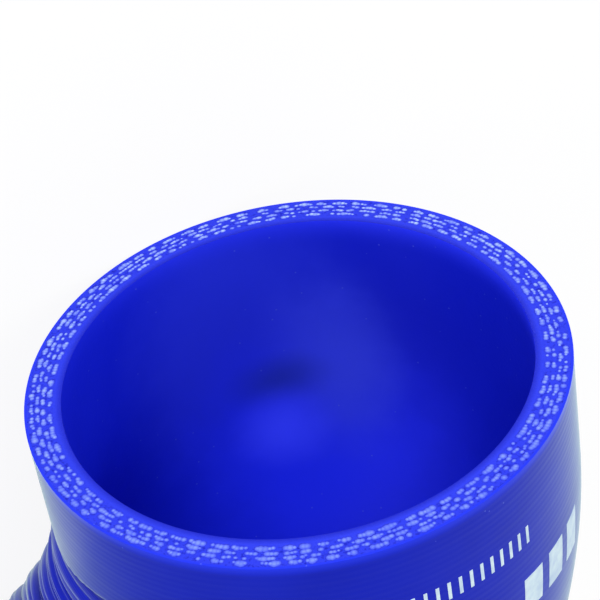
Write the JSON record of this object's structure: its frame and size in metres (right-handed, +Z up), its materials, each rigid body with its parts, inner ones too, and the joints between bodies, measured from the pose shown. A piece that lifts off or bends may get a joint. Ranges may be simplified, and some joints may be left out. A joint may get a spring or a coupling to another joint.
{
  "type": "throttle body hose",
  "caption": "Moulded silicone hose elbow with straight cuffs at both ends, a thick cut wall and pleats along the inside of the bend.",
  "frame": {"origin": "under the middle of the elbow's box, on the surface it lies on", "axes": "+Z up, square to the bend plane; one cut end faces -Y and the other faces +X"},
  "size_m": [0.1156, 0.1156, 0.081],
  "materials": {
    "blue_silicone": "semi-gloss moulded silicone, sawn at the ends"
  },
  "bodies": {
    "root": {"hose_body": "blue_silicone"}
  },
  "joints": []
}
